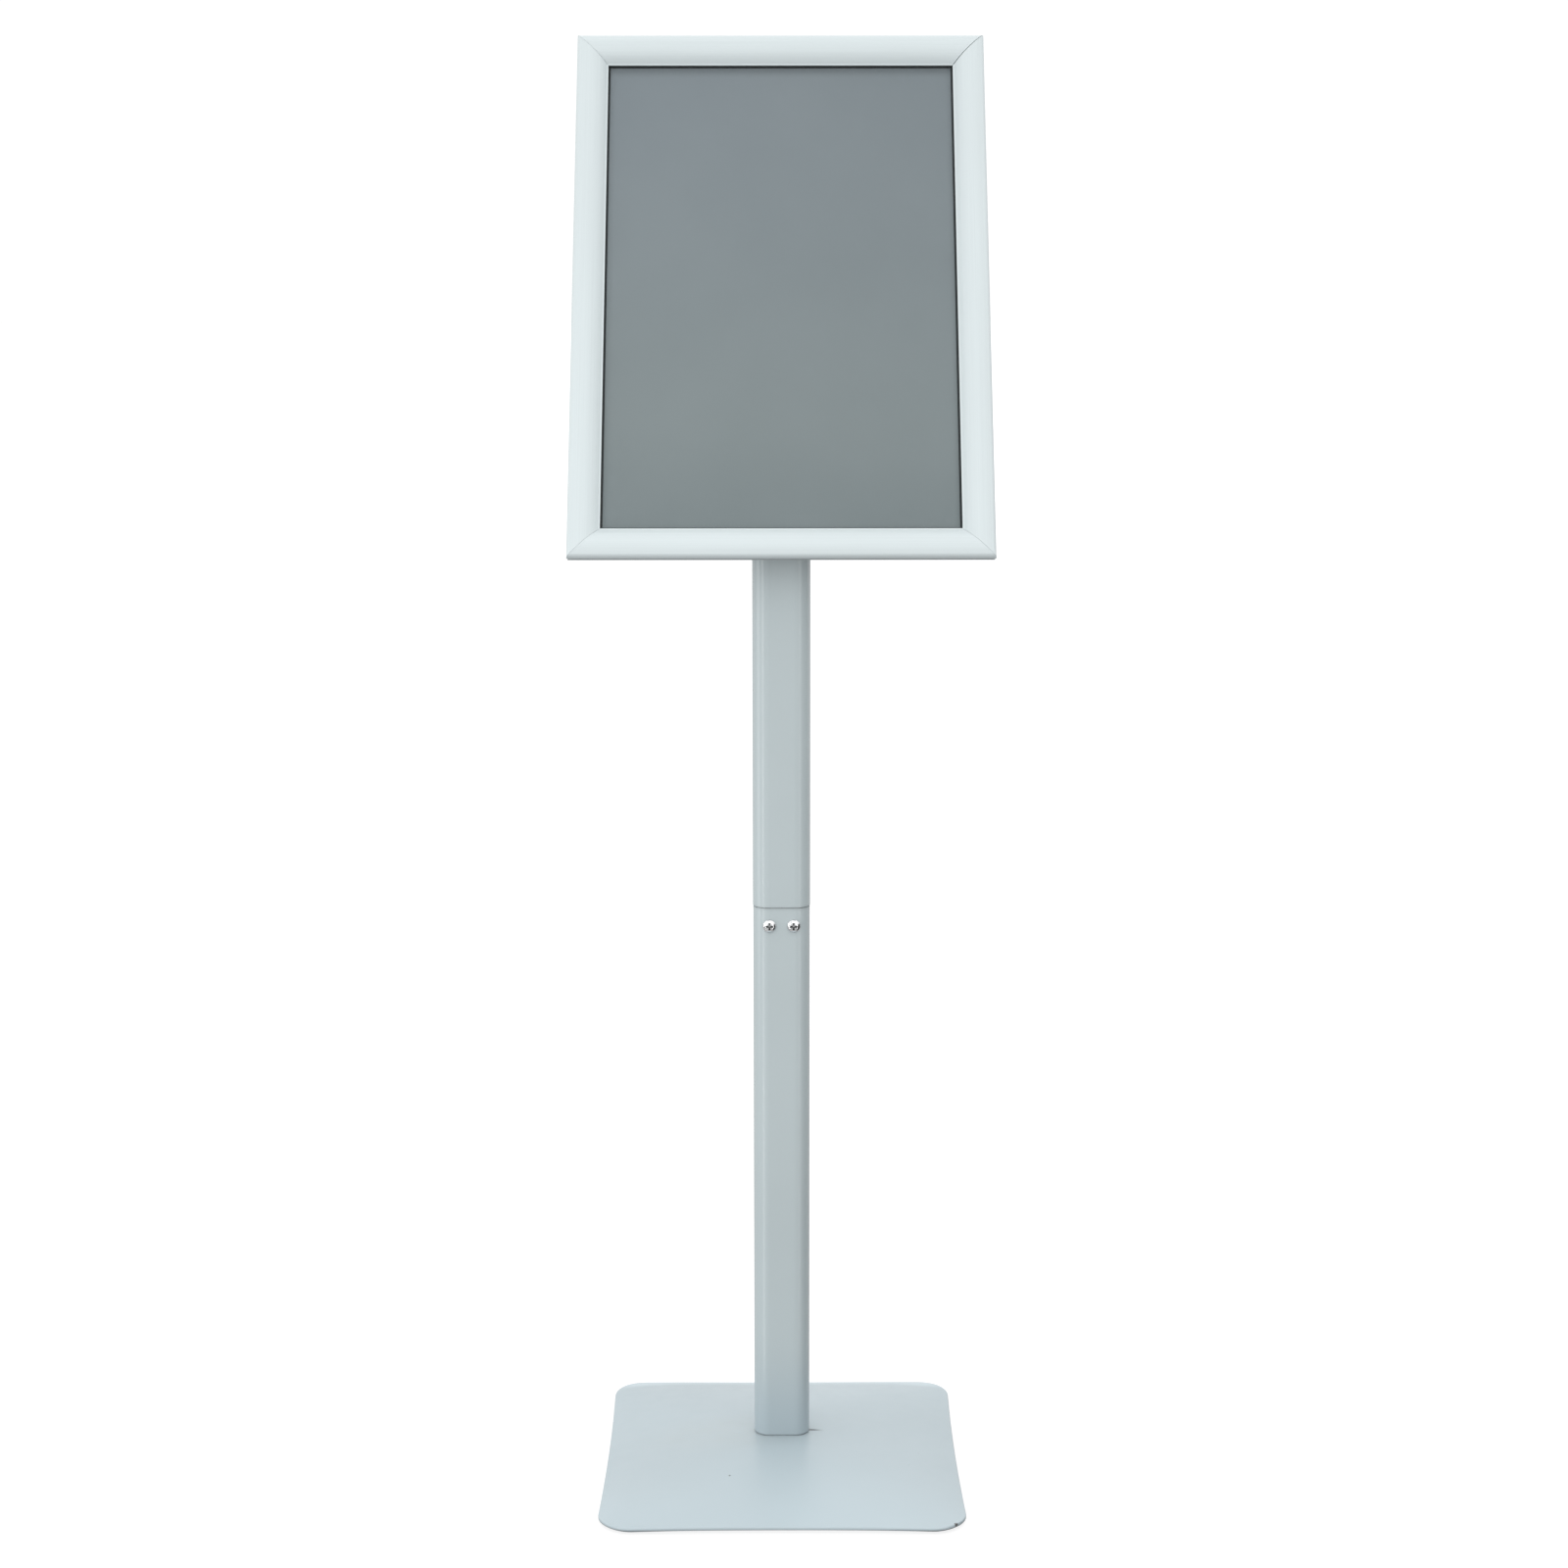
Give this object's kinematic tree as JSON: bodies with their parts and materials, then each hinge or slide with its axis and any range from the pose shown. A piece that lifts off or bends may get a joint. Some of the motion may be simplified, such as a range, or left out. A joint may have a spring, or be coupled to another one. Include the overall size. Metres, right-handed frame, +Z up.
{
  "type": "sign stand",
  "caption": "Floor-standing sign stand with a domed square base, a flat-oval pole and a leaning A3 snap-open poster frame that turns between portrait and landscape.",
  "frame": {"origin": "centre of the base's footprint on the floor", "axes": "+Z up; the sign faces -Y and leans back towards +Y; +X is to the right for someone reading the sign"},
  "size_m": [0.327, 0.3075, 1.1495],
  "materials": {
    "base_paint": "pale silver-grey powder coat, satin",
    "pole_paint": "silver-grey powder coat, satin",
    "frame_aluminium": "satin silver anodised extrusion",
    "zinc_steel": "zinc plated",
    "bright_screw": "bright plated",
    "spring_steel": "hardened spring steel",
    "black_plastic": "moulded, fine grain",
    "grey_plastic": "extruded, fine grain",
    "nylon": "natural nylon",
    "brass": "turned",
    "rubber": "moulded",
    "back_board": "extruded polystyrene board",
    "blank_sheet": "plain grey blank sheet, matt",
    "clear_sheet": "anti-glare clear PVC"
  },
  "bodies": {
    "stand": {"base_plate": "base_paint", "base_clamp_plate": "zinc_steel", "base_bolts": "zinc_steel", "base_spring_washers": "zinc_steel", "foot_pad_front_left": "rubber", "foot_pad_front_right": "rubber", "foot_pad_rear_left": "rubber", "foot_pad_rear_right": "rubber", "lower_tube": "pole_paint", "upper_tube": "pole_paint", "pole_foot_plug": "zinc_steel", "joiner_sleeve": "zinc_steel", "joiner_weld_nuts": "zinc_steel", "joiner_screws": "bright_screw", "tube_end_cap": "grey_plastic", "head_plate": "pole_paint", "tube_spacer": "zinc_steel", "friction_washer": "nylon"},
    "sign_head": {"bracket_plate": "zinc_steel", "pivot_stud": "zinc_steel", "crossbar_lower": "zinc_steel", "crossbar_upper": "zinc_steel", "bracket_rivets": "zinc_steel", "crossbar_screws": "zinc_steel", "rail_bottom": "frame_aluminium", "rail_top": "frame_aluminium", "rail_left": "frame_aluminium", "rail_right": "frame_aluminium", "springs_bottom": "spring_steel", "springs_top": "spring_steel", "springs_left": "spring_steel", "springs_right": "spring_steel", "corner_key_bottom_left": "zinc_steel", "corner_key_top_left": "zinc_steel", "corner_key_bottom_right": "zinc_steel", "corner_key_top_right": "zinc_steel", "corner_key_screws": "zinc_steel", "back_panel": "back_board", "poster_sheet": "blank_sheet", "clear_cover_sheet": "clear_sheet"},
    "knob": {"clamp_knob": "black_plastic", "knob_insert": "brass", "knob_washer": "zinc_steel"},
    "bottom_cover": {"cover_bottom": "frame_aluminium"},
    "top_cover": {"cover_top": "frame_aluminium"},
    "left_cover": {"cover_left": "frame_aluminium"},
    "right_cover": {"cover_right": "frame_aluminium"}
  },
  "joints": [
    {"name": "frame_rotation", "type": "hinge", "parent": "stand", "child": "sign_head", "pos_m": [0, 0.06215, 0.94498], "axis": [0, -0.891, 0.454], "range_deg": [0, 90]},
    {"name": "knob_turn", "type": "hinge", "parent": "sign_head", "child": "knob", "pos_m": [0, 0.09333, 0.92909], "axis": [0, 0.891, -0.454], "range_deg": [0, 270]},
    {"name": "bottom_cover_hinge", "type": "hinge", "parent": "sign_head", "child": "bottom_cover", "pos_m": [0, -0.04154, 0.74854], "axis": [1, 0, 0], "range_deg": [0, 90]},
    {"name": "top_cover_hinge", "type": "hinge", "parent": "sign_head", "child": "top_cover", "pos_m": [0, 0.16013, 1.14432], "axis": [-1, 0, 0], "range_deg": [0, 90]},
    {"name": "left_cover_hinge", "type": "hinge", "parent": "sign_head", "child": "left_cover", "pos_m": [-0.1606, 0.0593, 0.94643], "axis": [0, -0.454, -0.891], "range_deg": [0, 90]},
    {"name": "right_cover_hinge", "type": "hinge", "parent": "sign_head", "child": "right_cover", "pos_m": [0.1606, 0.0593, 0.94643], "axis": [0, 0.454, 0.891], "range_deg": [0, 90]}
  ]
}
